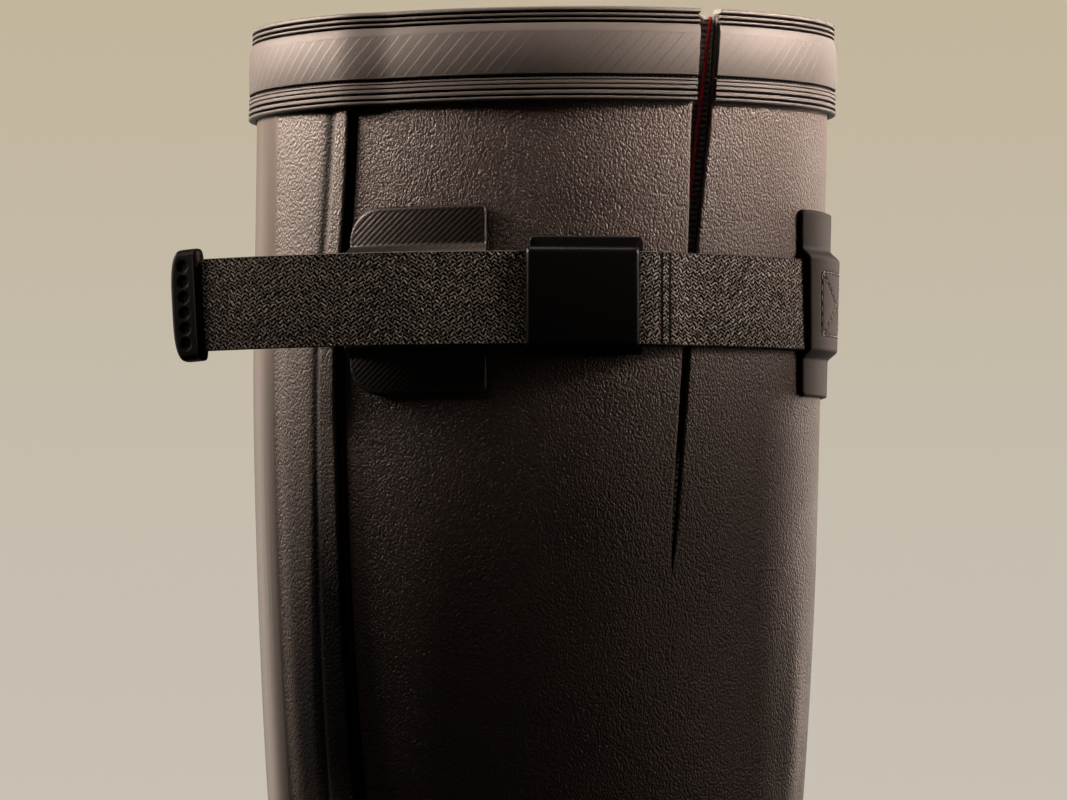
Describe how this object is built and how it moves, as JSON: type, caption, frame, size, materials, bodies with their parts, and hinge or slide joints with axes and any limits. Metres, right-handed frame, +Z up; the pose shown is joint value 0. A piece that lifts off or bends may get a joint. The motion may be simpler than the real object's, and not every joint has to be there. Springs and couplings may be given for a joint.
{
  "type": "rubber boot",
  "caption": "Knee-high right rubber boot with a ribbed collar, a side slit over a folded gusset, a rear panel and a webbing strap held by a slide buckle.",
  "frame": {"origin": "middle of the heel's tread, on the floor", "axes": "+X towards the toe, +Y towards the inner side of the foot, +Z up along the shaft"},
  "size_m": [0.324, 0.1269, 0.4115],
  "materials": {
    "upper_rubber": "satin, fine pebble grain",
    "panel_rubber": "satin, fine pebble grain",
    "collar_rubber": "satin, finely ribbed",
    "anchor_rubber": "matte, diagonal ribs",
    "front_anchor_rubber": "matte",
    "sole_rubber": "matte",
    "insole_felt": "felted",
    "gusset_cloth": "woven, dull",
    "piping_cord": "satin cord",
    "strap_webbing": "zigzag webbing",
    "tab_plastic": "satin",
    "buckle_plastic": "fine grain"
  },
  "bodies": {
    "root": {"upper": "upper_rubber", "outsole": "sole_rubber", "insole": "insole_felt", "collar_band": "collar_rubber", "back_panel": "panel_rubber", "gusset": "gusset_cloth", "gusset_piping": "piping_cord", "rear_anchor": "anchor_rubber", "front_anchor": "front_anchor_rubber", "strap": "strap_webbing", "buckle_strap": "strap_webbing", "strap_end_tab": "tab_plastic", "buckle_base": "buckle_plastic", "buckle_cover": "buckle_plastic"}
  },
  "joints": []
}
